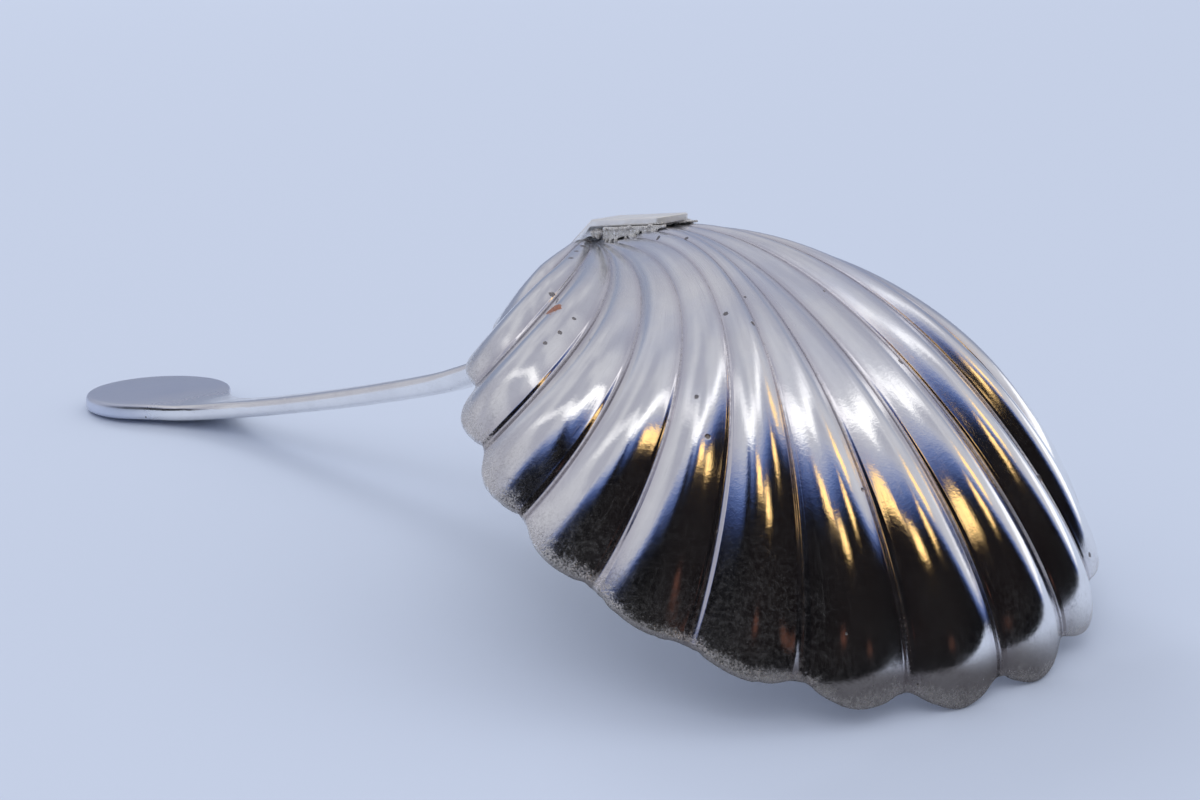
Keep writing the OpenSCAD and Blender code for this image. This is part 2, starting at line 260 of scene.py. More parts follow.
def merged_copy(node, name):
    """A new piece with the CAD node's shape, its loose triangles joined up."""
    piece = bpy.data.objects.new(name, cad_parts[node].data.copy())
    bpy.context.scene.collection.objects.link(piece)
    piece.data.name = name
    piece.data.materials.clear()
    pick(piece)
    bpy.ops.mesh.customdata_custom_splitnormals_clear()
    merge_points(piece, CAD_DOUBLES)
    return piece


def smooth_below(degrees):
    bpy.ops.object.shade_smooth_by_angle(angle=math.radians(degrees))


def keep_on_points(obj, name, kind, values):
    """An attribute that the materials read, with a value for each point."""
    attribute = obj.data.attributes.new(name, kind, "POINT")
    field = "vector" if kind == "FLOAT_VECTOR" else "value"
    attribute.data.foreach_set(field, np.asarray(values, np.float32).ravel())


# The bowl. Lengths in mm, places as shares of the way from beak to rim
STEPS_PER_FLUTE = 24
ROUND_STEPS = FLUTES * STEPS_PER_FLUTE
DOWN_STEPS = 60
VALLEY_CROWDING = 0.3
BEAK_REACH = 4.5
RIM_ROUND, ROUND_SEGMENTS = 0.34, 4

# The low waves, how they start and stop along a flute, and the nicks in the rim
WOBBLE, SLOW_WAVES, QUICK_WAVES, QUICK_SHARE = 0.012, 2.2, 4.6, 0.6
WAVES_FROM, WAVES_START, WAVES_STOP = 0.1, 1 / 3, 1 / 8
NICK, NICKED_FROM, NICK_LEAST, NICK_MOST = 0.05, 0.965, 0.3, 3
NICKS_ROUND, MORE_NICKS = 11, 9

# The sheet on which the bowl's patterns lie, rolled into a ring
PATTERN_ROUND, PATTERN_DOWN = 24.0, 45.0

flute_waves = rng.random((FLUTES, 4))
rim_waves = rng.random((9, 3))[:, :2]


def hand_wobble(phi, t):
    """Low waves left by the hammer and the burnisher, in mm along the surface's normal: a slow and a
    quick one down each flute, which die out in the valleys, at the beak and at the rim."""
    turn = phi * FLUTES / 360
    wave = flute_waves[np.floor(turn).astype(int) % FLUTES]
    f = turn - np.floor(turn)
    slow = np.sin(2 * math.pi * (t * (SLOW_WAVES + wave[:, 0]) + wave[:, 1]))
    quick = np.sin(2 * math.pi * (t * (QUICK_WAVES + wave[:, 2]) + wave[:, 3]))
    ends = ramp(t, WAVES_FROM, WAVES_START) * ramp(1 - t, 0, WAVES_STOP)
    return WOBBLE * (slow + QUICK_SHARE * quick) * np.sin(math.pi * f) ** 2 * ends


def rim_nicks(phi, t):
    """How far the worn rim falls short of its full depth, in mm."""
    a = np.radians(phi)
    ragged = np.zeros(len(phi))
    for k, (shift, strength) in enumerate(rim_waves):
        waves = NICKS_ROUND + MORE_NICKS * k + k * k
        ragged += (NICK_LEAST + strength) * np.sin(waves * a + 2 * math.pi * shift)
    return NICK * np.clip(ragged, 0, NICK_MOST) * ramp(t, NICKED_FROM, 1 - NICKED_FROM) ** 2


def skin(name, place_rule, outside):
    """One face of the sheet, as a grid that is wrapped round the bowl by its rule. It keeps, at each
    point, how near it is to a flute's crest and its own place on the sheet."""
    nothing_selected()
    bpy.ops.mesh.primitive_grid_add(x_subdivisions=ROUND_STEPS, y_subdivisions=DOWN_STEPS, size=1)
    obj = bpy.context.object
    obj.name = obj.data.name = name
    co = points_of(obj)
    turn = (co[:, 0] + 0.5) * FLUTES
    turn -= VALLEY_CROWDING * np.sin(2 * math.pi * turn) / (2 * math.pi)
    phi = 360 * turn / FLUTES - 180
    t = np.clip(co[:, 1] + 0.5, 0, 1)
    place = place_rule(phi, t)
    if outside:
        place = place + away(phi, t) * hand_wobble(phi, t)[:, None]
    place[:, 2] += rim_nicks(phi, t)
    set_points(obj, laid(place))
    a = np.radians(phi)
    f = turn - np.floor(turn)
    sheet = np.stack([PATTERN_ROUND * np.cos(a), PATTERN_ROUND * np.sin(a), PATTERN_DOWN * t], -1)
    keep_on_points(obj, "crest", "FLOAT", 1 - np.abs(2 * f - 1))
    keep_on_points(obj, "flow", "FLOAT_VECTOR", sheet)
    keep_on_points(obj, "hollow", "FLOAT", np.full(len(co), 0.0 if outside else 1.0))
    merge_points(obj, GRID_DOUBLES)
    return obj


def close_beak(obj):
    """Draws the small ring at the beak in to a point."""
    beak = laid(np.array([[-BEAK_BACK - BEAK_LEN / 2, 0, BEAK_H]]))[0]
    select_open_edges(obj)
    done()
    co = points_of(obj)
    is_open = np.zeros(len(co), bool)
    obj.data.vertices.foreach_get("select", is_open)
    near = np.linalg.norm(co - beak, axis=1) < BEAK_REACH * MM
    select_points(obj, is_open & near)
    edit(obj)
    bpy.ops.mesh.select_mode(type="EDGE")
    bpy.ops.mesh.extrude_edges_move()
    bpy.ops.mesh.merge(type="CENTER")
    done()


def make_bowl():
    """The pressed sheet: its back and its hollow side, joined round the rim, with the rim rounded."""
    back = skin("spoon_bowl", outer_place, True)
    hollow = skin("bowl_hollow", inner_place, False)
    for part in (back, hollow):
        close_beak(part)
    edit(hollow, "FACE")
    bpy.ops.mesh.select_all(action="SELECT")
    bpy.ops.mesh.flip_normals()
    done()
    pick(back)
    hollow.select_set(True)
    bpy.ops.object.join()
    bowl = bpy.context.object
    select_open_edges(bowl)
    bpy.ops.mesh.bridge_edge_loops()
    bpy.ops.mesh.region_to_loop()
    bpy.ops.mesh.bevel(offset=RIM_ROUND * MM, segments=ROUND_SEGMENTS, affect="EDGES", profile=0.5)
    bpy.ops.mesh.select_all(action="SELECT")
    bpy.ops.mesh.normals_make_consistent(inside=False)
    done()
    smooth_below(60)
    return bowl


# The handle, in mm and degrees
FLAT_BELOW, SHARP_FROM = 0.6, 35

# Between these two x, points closer than the gap would make the rounding cross itself
CLOSE_POINTS = ((-30, -70, 0.17), (-46.3, -47.2, 0.45))

# The rounding of its edges by the distance from the disc's end, and by the height above the table
ROUND_ALONG = ((0, 0.5), (14, 0.5), (22, 0.65), (32, 0.85), (66, 0.85))
ROUND_UP = ((12, 0.85), (14, 0.7), (17, 0.45), (21, 0.32), (25, 0.26), (29, 0.2), (31, 0.18))


def read_off(table, value):
    return np.interp(value, *zip(*table))


def make_handle():
    """The forged strip: the CAD shape, with each edge rounded as much as the real one is there."""
    handle = merged_copy("handle", "spoon_handle")
    for near, far, gap in CLOSE_POINTS:
        along = points_of(handle)[:, 0] / MM
        merge_points(handle, gap, (along < near) & (along > far))
    edit(handle)
    bpy.ops.mesh.select_all(action="SELECT")
    bpy.ops.mesh.dissolve_limited(angle_limit=math.radians(FLAT_BELOW))
    bpy.ops.mesh.normals_make_consistent(inside=False)
    bpy.ops.mesh.select_all(action="DESELECT")
    bpy.ops.mesh.select_mode(type="EDGE")
    bpy.ops.mesh.edges_select_sharp(sharpness=math.radians(SHARP_FROM))
    done()
    mesh = handle.data
    sharp = np.zeros(len(mesh.edges), bool)
    mesh.edges.foreach_get("select", sharp)
    ends = np.empty(len(mesh.edges) * 2, int)
    mesh.edges.foreach_get("vertices", ends)
    ends = ends.reshape(-1, 2)
    co = points_of(handle)
    middle = (co[ends[:, 0]] + co[ends[:, 1]]) / 2 / MM
    from_disc = middle[:, 0] - co[:, 0].min() / MM
    round_mm = np.minimum(read_off(ROUND_ALONG, from_disc), read_off(ROUND_UP, middle[:, 2]))
    weight = mesh.attributes.new("bevel_weight_edge", "FLOAT", "EDGE")
    weight.data.foreach_set("value", np.where(sharp, round_mm, 0).astype(np.float32))
    soften = handle.modifiers.new("edge_rounding", "BEVEL")
    soften.limit_method = "WEIGHT"
    soften.width = MM
    soften.segments = ROUND_SEGMENTS
    soften.use_clamp_overlap = False
    pick(handle)
    bpy.ops.object.modifier_apply(modifier=soften.name)
    smooth_below(32)
    return handle


# The solder, in mm. Beads lie along the wedge's sides, and more of them under the fold
SIDE_BEADS, SIDE_FROM, SIDE_TO_X = 50, 0.88, 26.0
FOLD_BEADS, FOLD_BACK, FOLD_HALF_W = 46, 1.25, 1.75
SIDE_BEAD_R, FOLD_BEAD_R = (0.14, 0.28), (0.22, 0.36)
DROP_LEAST, DROP_MOST, DROP_TAPER, FOLD_SLOPE = 0.22, 0.95, 0.3, 0.18
BEAD_LONG, BEAD_WIDE, BEAD_HIGH = (0.9, 1.5), 0.9, (0.7, 1.0)
BACK_FACE, JITTER, MELT_VOXEL = 0.01, 0.1, 0.075


def bead_places(solder):
    """Where the beads lie, in metres, and their radii in mm."""
    co = points_of(solder)
    across = np.abs(co[:, 1])
    side = np.where((across > SIDE_FROM * across.max()) & (co[:, 0] < SIDE_TO_X * MM))[0]
    chosen = rng.choice(side, min(SIDE_BEADS, len(side)), replace=False)
    places = [(co[k], rng.uniform(*SIDE_BEAD_R)) for k in chosen]
    start = co[:, 0].min()
    under = co[co[:, 0] < start + BACK_FACE * MM][:, 2].max()
    for _ in range(FOLD_BEADS):
        back = rng.uniform(0, FOLD_BACK)
        side_step = rng.uniform(-FOLD_HALF_W, FOLD_HALF_W)
        drop = rng.uniform(DROP_LEAST, DROP_MOST - DROP_TAPER * back) + FOLD_SLOPE * back
        place = np.array([start - back * MM, side_step * MM, under - drop * MM])
        places.append((place, rng.uniform(*FOLD_BEAD_R)))
    return places


def make_solder():
    """The run of solder: the CAD wedge with small beads along its sides, melted into one lumpy skin."""
    solder = merged_copy("solder_fillet", "silver_solder")
    beads = []
    for middle, radius in bead_places(solder):
        place = middle + rng.uniform(-JITTER, JITTER, 3) * MM
        place[2] -= JITTER * MM
        nothing_selected()
        bpy.ops.mesh.primitive_ico_sphere_add(subdivisions=2, radius=radius * MM, location=place)
        beads.append(bpy.context.object)
        bpy.ops.object.mode_set(mode="EDIT")
        bpy.ops.transform.resize(value=(rng.uniform(*BEAD_LONG), BEAD_WIDE, rng.uniform(*BEAD_HIGH)))
        done()
    pick(solder)
    for bead in beads:
        bead.select_set(True)
    bpy.ops.object.join()
    melt = solder.modifiers.new("melt", "REMESH")
    melt.mode = "VOXEL"
    melt.voxel_size = MELT_VOXEL * MM
    bpy.ops.object.modifier_apply(modifier=melt.name)
    calm = solder.modifiers.new("calm", "SMOOTH")
    calm.factor = 0.5
    calm.iterations = 2
    bpy.ops.object.modifier_apply(modifier=calm.name)
    smooth_below(80)
    return solder


bowl = make_bowl()
handle = make_handle()
solder = make_solder()
for piece, node, slot in ((bowl, "shell_bowl", "bowl_silver"), (handle, "handle", "handle_silver"),
                          (solder, "solder_fillet", "silver_solder")):
    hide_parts(node)
    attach(piece, "root")


# Nodes
class Wiring:
    """The nodes and links of one material, node group or room, with short ways to add to them.
    A value may be a number, a colour, a place or another node's output."""

    def __init__(self, tree):
        self.tree = tree

    def add(self, kind, **settings):
        node = self.tree.nodes.new(kind)
        for name, value in settings.items():
            setattr(node, name, value)
        return node

    def feed(self, socket, value):
        if isinstance(value, bpy.types.NodeSocket):
            self.tree.links.new(value, socket)
        elif socket.type == "RGBA":
            socket.default_value = (*value, 1)
        else:
            socket.default_value = value

    def calc(self, kind, *values):
        """A Math node on up to three values."""
        node = self.add("ShaderNodeMath", operation=kind)
        for socket, value in zip(node.inputs, values):
            self.feed(socket, value)
        return node.outputs[0]

    def product(self, first, *others):
        for other in others:
            first = self.calc("MULTIPLY", first, other)
        return first

    def total(self, start, *parts):
        """The start and, added to it, each part's mask times its amount."""
        for mask, amount in parts:
            start = self.calc("MULTIPLY_ADD", mask, amount, start)
        return start

    def step(self, value, start, end, low=0.0, high=1.0):
        """low before start, high after end, and a smooth change between them."""
        node = self.add("ShaderNodeMapRange", interpolation_type="SMOOTHSTEP")
        limits = (("From Min", start), ("From Max", end), ("To Min", low), ("To Max", high))
        for name, number in (("Value", value), *limits):
            self.feed(node.inputs[name], number)
        return node.outputs["Result"]

    def mix(self, share, first, second):
        """The first colour where share is 0, and the second where it is 1."""
        node = self.add("ShaderNodeMix", data_type="RGBA")
        for name, value in (("Factor", share), ("A", first), ("B", second)):
            self.feed(node.inputs[name], value)
        return node.outputs["Result"]

    def layered(self, colour, *layers):
        """The colour with others laid over it in order, each as its mask, its strength and itself."""
        for mask, strength, over in layers:
            colour = self.mix(self.calc("MULTIPLY", mask, strength), colour, over)
        return colour

    def colour_stops(self, value, stops):
        """A colour ramp from (position, colour) pairs, in order."""
        node = self.add("ShaderNodeValToRGB")
        self.feed(node.inputs["Fac"], value)
        band = node.color_ramp
        while len(band.elements) < len(stops):
            band.elements.new(0.5)
        for element, (place, colour) in zip(band.elements, stops):
            element.position = place
            element.color = (*colour, 1)
        return node.outputs["Color"]

    def noise(self, vector, scale, detail, rough):
        node = self.add("ShaderNodeTexNoise")
        for name, value in (("Vector", vector), ("Scale", scale), ("Detail", detail), ("Roughness", rough)):
            self.feed(node.inputs[name], value)
        return node.outputs["Fac"]

    def vectors(self, kind, first, second=None):
        """A Vector Math node's outputs."""
        node = self.add("ShaderNodeVectorMath", operation=kind)
        self.feed(node.inputs[0], first)
        if second is not None:
            self.feed(node.inputs[1], second)
        return node.outputs

    def towards(self, direction, way):
        """1 where the way points in the direction, 0 square to it and -1 away from it."""
        return self.vectors("DOT_PRODUCT", way, Vector(direction).normalized())["Value"]

    def parts(self, vector):
        node = self.add("ShaderNodeSeparateXYZ")
        self.feed(node.inputs[0], vector)
        return node.outputs

    def turned(self, vector, axis, degrees):
        node = self.add("ShaderNodeVectorRotate", rotation_type=axis)
        self.feed(node.inputs["Vector"], vector)
        self.feed(node.inputs["Angle"], math.radians(degrees))
        return node.outputs[0]

    def attribute(self, name):
        return self.add("ShaderNodeAttribute", attribute_name=name).outputs

    def object_place(self):
        return self.add("ShaderNodeTexCoord").outputs["Object"]

    def place_in_mm(self):
        """Object coordinates in mm."""
        node = self.add("ShaderNodeVectorMath", operation="SCALE")
        self.feed(node.inputs[0], self.object_place())
        self.feed(node.inputs["Scale"], 1 / MM)
        return node.outputs[0]

    def use(self, group, **values):
        """A node group's outputs, with values for its inputs."""
        node = self.add("ShaderNodeGroup", node_tree=group)
        for name, value in values.items():
            self.feed(node.inputs[name], value)
        return node.outputs


NUMBER, VECTOR = "NodeSocketFloat", "NodeSocketVector"


def new_group(name, numbers, gives, place=False):
    """An empty node group that takes a vector, named numbers and perhaps a place, and gives numbers."""
    tree = bpy.data.node_groups.new(name, "ShaderNodeTree")
    tree.interface.new_socket(name="Vector", in_out="INPUT", socket_type=VECTOR)
    if place:
        tree.interface.new_socket(name="Place", in_out="INPUT", socket_type=VECTOR)
    for number, value in numbers.items():
        tree.interface.new_socket(name=number, in_out="INPUT", socket_type=NUMBER).default_value = value
    for given in gives:
        tree.interface.new_socket(name=given, in_out="OUTPUT", socket_type=NUMBER)
    wires = Wiring(tree)
    return wires, wires.add("NodeGroupInput").outputs, wires.add("NodeGroupOutput").inputs


def make_fine_scratches():
    """Fine lines that run along the third direction of the vector, which is in mm."""
    wires, takes, gives = new_group("fine_scratches", {"Across": 8.0, "Along": 0.35}, ("Lines", "Height"))
    parts = wires.parts(takes["Vector"])
    joined = wires.add("ShaderNodeCombineXYZ")
    for axis, factor in enumerate(("Across", "Across", "Along")):
        wires.feed(joined.inputs[axis], wires.product(parts[axis], takes[factor]))
    height = wires.noise(joined.outputs[0], 1.0, detail=3.0, rough=0.65)
    wires.feed(gives["Lines"], wires.step(height, 0.56, 0.72))
    wires.feed(gives["Height"], height)
    return wires.tree


def make_cloudy_wear():
    """Soft patches and, on top of them, small grains."""
    wires, takes, gives = new_group("cloudy_wear", {"Patches": 0.25, "Grains": 3.0}, ("Cloud", "Grain"))
    cloud = wires.noise(takes["Vector"], takes["Patches"], detail=5.0, rough=0.6)
    wires.feed(gives["Cloud"], wires.step(cloud, 0.36, 0.68))
    grain = wires.noise(takes["Vector"], takes["Grains"], detail=3.0, rough=0.7)
    wires.feed(gives["Grain"], wires.step(grain, 0.4, 0.68))
    return wires.tree


def make_pits():
    """Small dark pits, one in some of the cells of a scatter."""
    wires, takes, gives = new_group("pits", {"Scale": 0.5, "Size": 0.1, "Share": 0.3}, ("Mask",))
    cells = wires.add("ShaderNodeTexVoronoi")
    wires.feed(cells.inputs["Vector"], takes["Vector"])
    wires.feed(cells.inputs["Scale"], takes["Scale"])
    dice = wires.add("ShaderNodeSeparateColor")
    wires.feed(dice.inputs[0], cells.outputs["Color"])
    kept = wires.calc("LESS_THAN", dice.outputs[0], takes["Share"])
    radius = wires.product(takes["Size"], wires.total(0.3, (dice.outputs[1], 0.8)))
    far = wires.calc("DIVIDE", cells.outputs["Distance"], radius)
    wires.feed(gives["Mask"], wires.product(kept, wires.step(far, 0.6, 1.0, 1.0, 0.0)))
    return wires.tree


def make_spot():
    """One mark with a ragged edge at a given place."""
    wires, takes, gives = new_group("spot", {"Size": 0.5}, ("Mask",), place=True)
    gap = wires.vectors("DISTANCE", takes["Vector"], takes["Place"])["Value"]
    ragged = wires.noise(takes["Vector"], 2.4, detail=4.0, rough=0.65)
    far = wires.calc("ADD", wires.calc("DIVIDE", gap, takes["Size"]), wires.total(-0.8, (ragged, 1.6)))
    wires.feed(gives["Mask"], wires.step(far, 0.75, 1.0, 1.0, 0.0))
    return wires.tree


fine_scratches = make_fine_scratches()
cloudy_wear = make_cloudy_wear()
pits = make_pits()
spot = make_spot()


def new_material(name):
    material = bpy.data.materials.new(name)
    material.use_nodes = True
    material.node_tree.nodes.clear()
    wires = Wiring(material.node_tree)
    shader = wires.add("ShaderNodeBsdfPrincipled")
    wires.feed(wires.add("ShaderNodeOutputMaterial").inputs["Surface"], shader.outputs["BSDF"])
    return material, wires, shader


def finish_metal(wires, shader, colour, rough, metal, height, depth_mm):
    """Joins a finish to its shader: colour, roughness, how much of it is bare metal, and relief."""
    bump = wires.add("ShaderNodeBump")
    for socket, value in ((shader.inputs["Base Color"], colour), (shader.inputs["Roughness"], rough),
                          (shader.inputs["Metallic"], metal), (bump.inputs["Distance"], depth_mm * MM),
                          (bump.inputs["Height"], height), (shader.inputs["Normal"], bump.outputs["Normal"])):
        wires.feed(socket, value)


# Marks that can be seen on the real bowl: place and size in mm
COPPER_SPOT = ((27.6, -15.1, 27.0), 0.85)
DARK_MARKS = (((24.75, -12.7, 27.5), 0.32), ((30.5, -18.5, 25.25), 0.2), ((30.5, -16.9, 25.85), 0.22),
              ((29.9, -14.9, 26.6), 0.2), ((41.6, -9.3, 28.15), 0.24), ((45.3, -16.0, 23.2), 0.2),
              ((27.4, -3.2, 31.4), 0.24), ((30.5, -2.9, 31.8), 0.22), ((17.4, -2.1, 29.6), 0.34),
              ((18.4, -3.6, 29.5), 0.3), ((19.3, -5.2, 29.4), 0.24), ((20.6, -7.0, 29.2), 0.22))

# Colours of the silver and of what lies on it
BOWL_CLEAN, BOWL_DULL = (0.95, 0.942, 0.93), (0.88, 0.87, 0.87)
STRIP_CLEAN, STRIP_DULL = (0.93, 0.92, 0.91), (0.87, 0.86, 0.86)
SOLDER_CLEAN, SOLDER_DULL = (0.95, 0.94, 0.92), (0.82, 0.8, 0.78)
# The blue haze tint is partly a haze on the silver and partly a painted reflection of the pale blue backdrop.
BLUE_HAZE_AND_REFLECTION, STRIP_TARNISH = (0.72, 0.75, 0.85), (0.6, 0.65, 0.78)
SCRATCH_GREY, STREAK_GREY = (0.7, 0.69, 0.69), (0.7, 0.67, 0.73)
# The valley tint is partly tarnish and partly painted shade, darker where the flutes meet.
VALLEY_TARNISH_AND_SHADE, GROOVE_DIRT = (0.57, 0.53, 0.59), (0.3, 0.26, 0.26)
SCUFF_GREY, RIM_GREY, HOLLOW_GREY = (0.42, 0.4, 0.41), (0.62, 0.6, 0.6), (0.66, 0.65, 0.64)
BOWL_PIT, STRIP_PIT, SOLDER_PIT = (0.12, 0.1, 0.095), (0.1, 0.09, 0.085), (0.12, 0.1, 0.09)
COPPER_BRIGHT, COPPER_DARK = (0.4, 0.14, 0.06), (0.2, 0.06, 0.03)


def bowl_silver():
    """Polished silver: milky above, with a blue tint there that is partly haze and partly painted
    reflection of the backdrop, and mirror-bright below, with tarnish and painted shade in the valleys, a
    chased line in each of them, scuffs towards the rim and the marks that time has left."""
    material, wires, shader = new_material("bowl_silver")
    step, use, product, total = wires.step, wires.use, wires.product, wires.total
    place = wires.place_in_mm()
    flow = wires.attribute("flow")["Vector"]
    crest = wires.attribute("crest")["Fac"]
    inside = wires.attribute("hollow")["Fac"]
    down = wires.calc("DIVIDE", wires.parts(flow)[2], PATTERN_DOWN)

    along = use(fine_scratches, Vector=flow, Across=3.2, Along=0.22)
    fine = use(fine_scratches, Vector=flow, Across=9.0, Along=0.5)
    wear = use(cloudy_wear, Vector=place, Patches=0.22, Grains=2.6)
    haze = use(cloudy_wear, Vector=place, Patches=0.09, Grains=7.0)
    scuffs = use(cloudy_wear, Vector=place, Patches=0.5, Grains=4.5)

    # The upper bowl is rougher, and gets the blue tint there: partly haze, partly painted reflection of the
    # backdrop.
    milky = step(down, 0.62, 0.3)
    # Painted shade, partly: a wide soft darkening towards each valley, laid over the tarnish there.
    valley_tarnish_and_shade = product(step(crest, 0.42, 0.05), step(down, 0.03, 0.15))
    groove = product(step(crest, 0.09, 0.0), total(0.2, (wear["Grain"], 0.6)),
                     step(down, 0.08, 0.3, 0.1, 1.0))
    chased = product(step(crest, 0.0, 0.15), step(down, 0.3, 0.75, 0.16, 1.0))
    ragged = total(down, (wear["Grain"], 0.022), (wear["Cloud"], 0.03))
    worn_rim = product(step(ragged, 0.96, 1.015), total(0.2, (haze["Grain"], 0.8)))
    scuffed = product(step(ragged, 0.84, 1.0), total(0.4, (scuffs["Cloud"], 0.6)),
                      total(0.3, (scuffs["Grain"], 0.7)))
    dusty = product(total(0.15, (haze["Cloud"], 0.85)), wear["Grain"], step(down, 0.6, 0.97, 0.2, 1.0))
    marks = use(pits, Vector=place, Scale=0.42, Size=0.13, Share=0.16)["Mask"]
    for where, size in DARK_MARKS:
        marks = wires.calc("MAXIMUM", marks, use(spot, Vector=place, Place=where, Size=size)["Mask"])
    copper = use(spot, Vector=place, Place=COPPER_SPOT[0], Size=COPPER_SPOT[1])["Mask"]

    colour = wires.layered(
        wires.mix(wear["Cloud"], BOWL_CLEAN, BOWL_DULL),
        (product(haze["Cloud"], milky), 0.75, BLUE_HAZE_AND_REFLECTION),
        (fine["Lines"], 0.25, SCRATCH_GREY),
        (product(along["Lines"], milky), 0.4, STREAK_GREY),
        (valley_tarnish_and_shade, 0.45, VALLEY_TARNISH_AND_SHADE),
        (groove, 0.6, GROOVE_DIRT),
        (scuffed, 0.7, SCUFF_GREY),
        (worn_rim, 0.75, RIM_GREY),
        (inside, 0.4, HOLLOW_GREY),
        (marks, 0.75, BOWL_PIT),
        (copper, 0.95, wires.mix(haze["Grain"], COPPER_BRIGHT, COPPER_DARK)))
    rough = total(
        0.075, (wear["Cloud"], 0.04), (milky, 0.15), (along["Lines"], 0.05), (fine["Lines"], 0.05),
        (groove, 0.2), (scuffed, 0.22), (worn_rim, 0.3), (inside, 0.12),
        (wires.calc("MAXIMUM", marks, copper), 0.3))
    metal = total(1.0, (dusty, -0.036), (worn_rim, -0.28), (copper, -0.5))
    height = total(
        0.0, (fine["Height"], 0.3), (along["Height"], 0.5), (wear["Grain"], 0.3),
        (product(worn_rim, haze["Grain"]), 4.0), (marks, -8.0), (chased, 36.0))
    finish_metal(wires, shader, colour, rough, metal, height, 0.005)
    return material


def handle_silver():
    """Brighter and plainer silver with lines along the strip and across the disc. The disc has gone
    blue, and the tongue on the bowl's back is matt."""
    material, wires, shader = new_material("handle_silver")
    place = wires.place_in_mm()
    lengthwise = wires.turned(place, "Y_AXIS", 90)
    slanting = wires.turned(wires.turned(place, "Z_AXIS", 38), "Y_AXIS", 90)
    long_lines = wires.use(fine_scratches, Vector=lengthwise, Across=5.0, Along=0.25)
    cross_lines = wires.use(fine_scratches, Vector=slanting, Across=8.0, Along=0.6)
    wear = wires.use(cloudy_wear, Vector=place, Patches=0.35, Grains=3.5)
    small_pits = wires.use(pits, Vector=place, Scale=0.6, Size=0.1, Share=0.08)["Mask"]
    x, _, z = wires.parts(place)
    tarnish = wires.product(wires.step(x, -46.0, -54.0), 0.8)
    tongue = wires.step(z, 29.0, 31.2)

    colour = wires.layered(
        wires.mix(wear["Cloud"], STRIP_CLEAN, STRIP_DULL),
        (long_lines["Lines"], 0.25, SCRATCH_GREY),
        (tarnish, 1.0, STRIP_TARNISH),
        (small_pits, 0.8, STRIP_PIT))
    rough = wires.total(
        0.17, (wear["Cloud"], 0.06), (tongue, 0.2), (tarnish, 0.22), (long_lines["Lines"], 0.06),
        (cross_lines["Lines"], 0.04), (wear["Grain"], 0.03))
    metal = wires.total(0.99, (wear["Grain"], -0.04), (tongue, -0.3))
    height = wires.total(
        0.0, (cross_lines["Height"], 0.25), (long_lines["Height"], 0.5), (small_pits, -3.0),
        (wires.product(tongue, wear["Grain"]), 4.0))
    finish_metal(wires, shader, colour, rough, metal, height, 0.005)
    return material


def solder_silver():
    """Granular and pitted, as it ran and set."""
    material, wires, shader = new_material("silver_solder")
    place = wires.place_in_mm()
    wear = wires.use(cloudy_wear, Vector=place, Patches=1.2, Grains=6.5)
    holes = wires.use(pits, Vector=place, Scale=2.6, Size=0.3, Share=0.4)["Mask"]
    colour = wires.layered(wires.mix(wear["Cloud"], SOLDER_CLEAN, SOLDER_DULL), (holes, 0.7, SOLDER_PIT))
    rough = wires.total(0.22, (wear["Grain"], 0.25))
    metal = wires.total(0.8, (wear["Grain"], -0.25))
    finish_metal(wires, shader, colour, rough, metal, wires.total(wear["Grain"], (holes, -1.2)), 0.05)
    return material


bowl.data.materials.append(bowl_silver())
handle.data.materials.append(handle_silver())
solder.data.materials.append(solder_silver())

# Directions on the table: towards the camera, and to its right
NEAR = (0.74, -0.672, 0)
SIDE = (0.672, 0.74, 0)

# The table, in metres. The silver sees the part of it that lies in front of the bowl darker
TABLE_SIZE = 6
BOWL_MIDDLE = (0.036, 0, 0)
TABLE_PALE, TABLE_SHADE = (0.505, 0.565, 0.7), (0.1, 0.1, 0.115)


def make_floor():
    nothing_selected()
    bpy.ops.mesh.primitive_plane_add(size=TABLE_SIZE, location=(0, 0, 0))
    floor = bpy.context.object
    floor.name = "floor"
    material, wires, shader = new_material("pale_table")
    from_bowl = wires.vectors("SUBTRACT", wires.object_place(), BOWL_MIDDLE)["Vector"]
    aim = wires.vectors("NORMALIZE", from_bowl)["Vector"]
    in_front = wires.step(wires.towards(NEAR, aim), -0.2, 0.7)
    shade = wires.product(in_front, wires.add("ShaderNodeLightPath").outputs["Is Glossy Ray"])
    wires.feed(shader.inputs["Base Color"], wires.mix(shade, TABLE_PALE, TABLE_SHADE))
    wires.feed(shader.inputs["Roughness"], 0.6)
    wires.feed(shader.inputs["Specular IOR Level"], 0.0)
    floor.data.materials.append(material)


make_floor()

# The room, in degrees. Azimuth is 0 towards the camera and grows to the right, as seen by it
ROOM_PALE, ROOM_AHEAD, ROOM_STRENGTH = (0.97, 0.98, 1.0), (0.9, 0.9, 0.94), 0.9

# How high the dark side, the bright ring and the gold lamps stand: (azimuth, height)
DARK_TOP = ((-180, -20), (-88, -20), (-76, 12), (-63, 36), (-50, 46), (-34, 49), (-24, 52), (-12, 62),
            (0, 57), (18, 59), (32, 56), (44, 52), (60, 49), (76, 45), (90, 39), (102, 30), (114, 12),
            (128, -12), (140, -20), (180, -20))
RING_HEIGHT = ((-180, 30), (-130, 34), (-112, 48), (-100, 57), (-88, 65), (-62, 75), (-40, 74), (0, 73),
               (40, 74), (58, 73), (75, 66), (100, 59), (118, 47), (132, 36), (180, 30))
GOLD_HEIGHT = ((-180, 62), (20, 62), (30, 60), (40, 57), (50, 48), (62, 44), (80, 38), (100, 36),
               (120, 28), (180, 20))
LOWEST, HEIGHT_SPAN = -20, 110

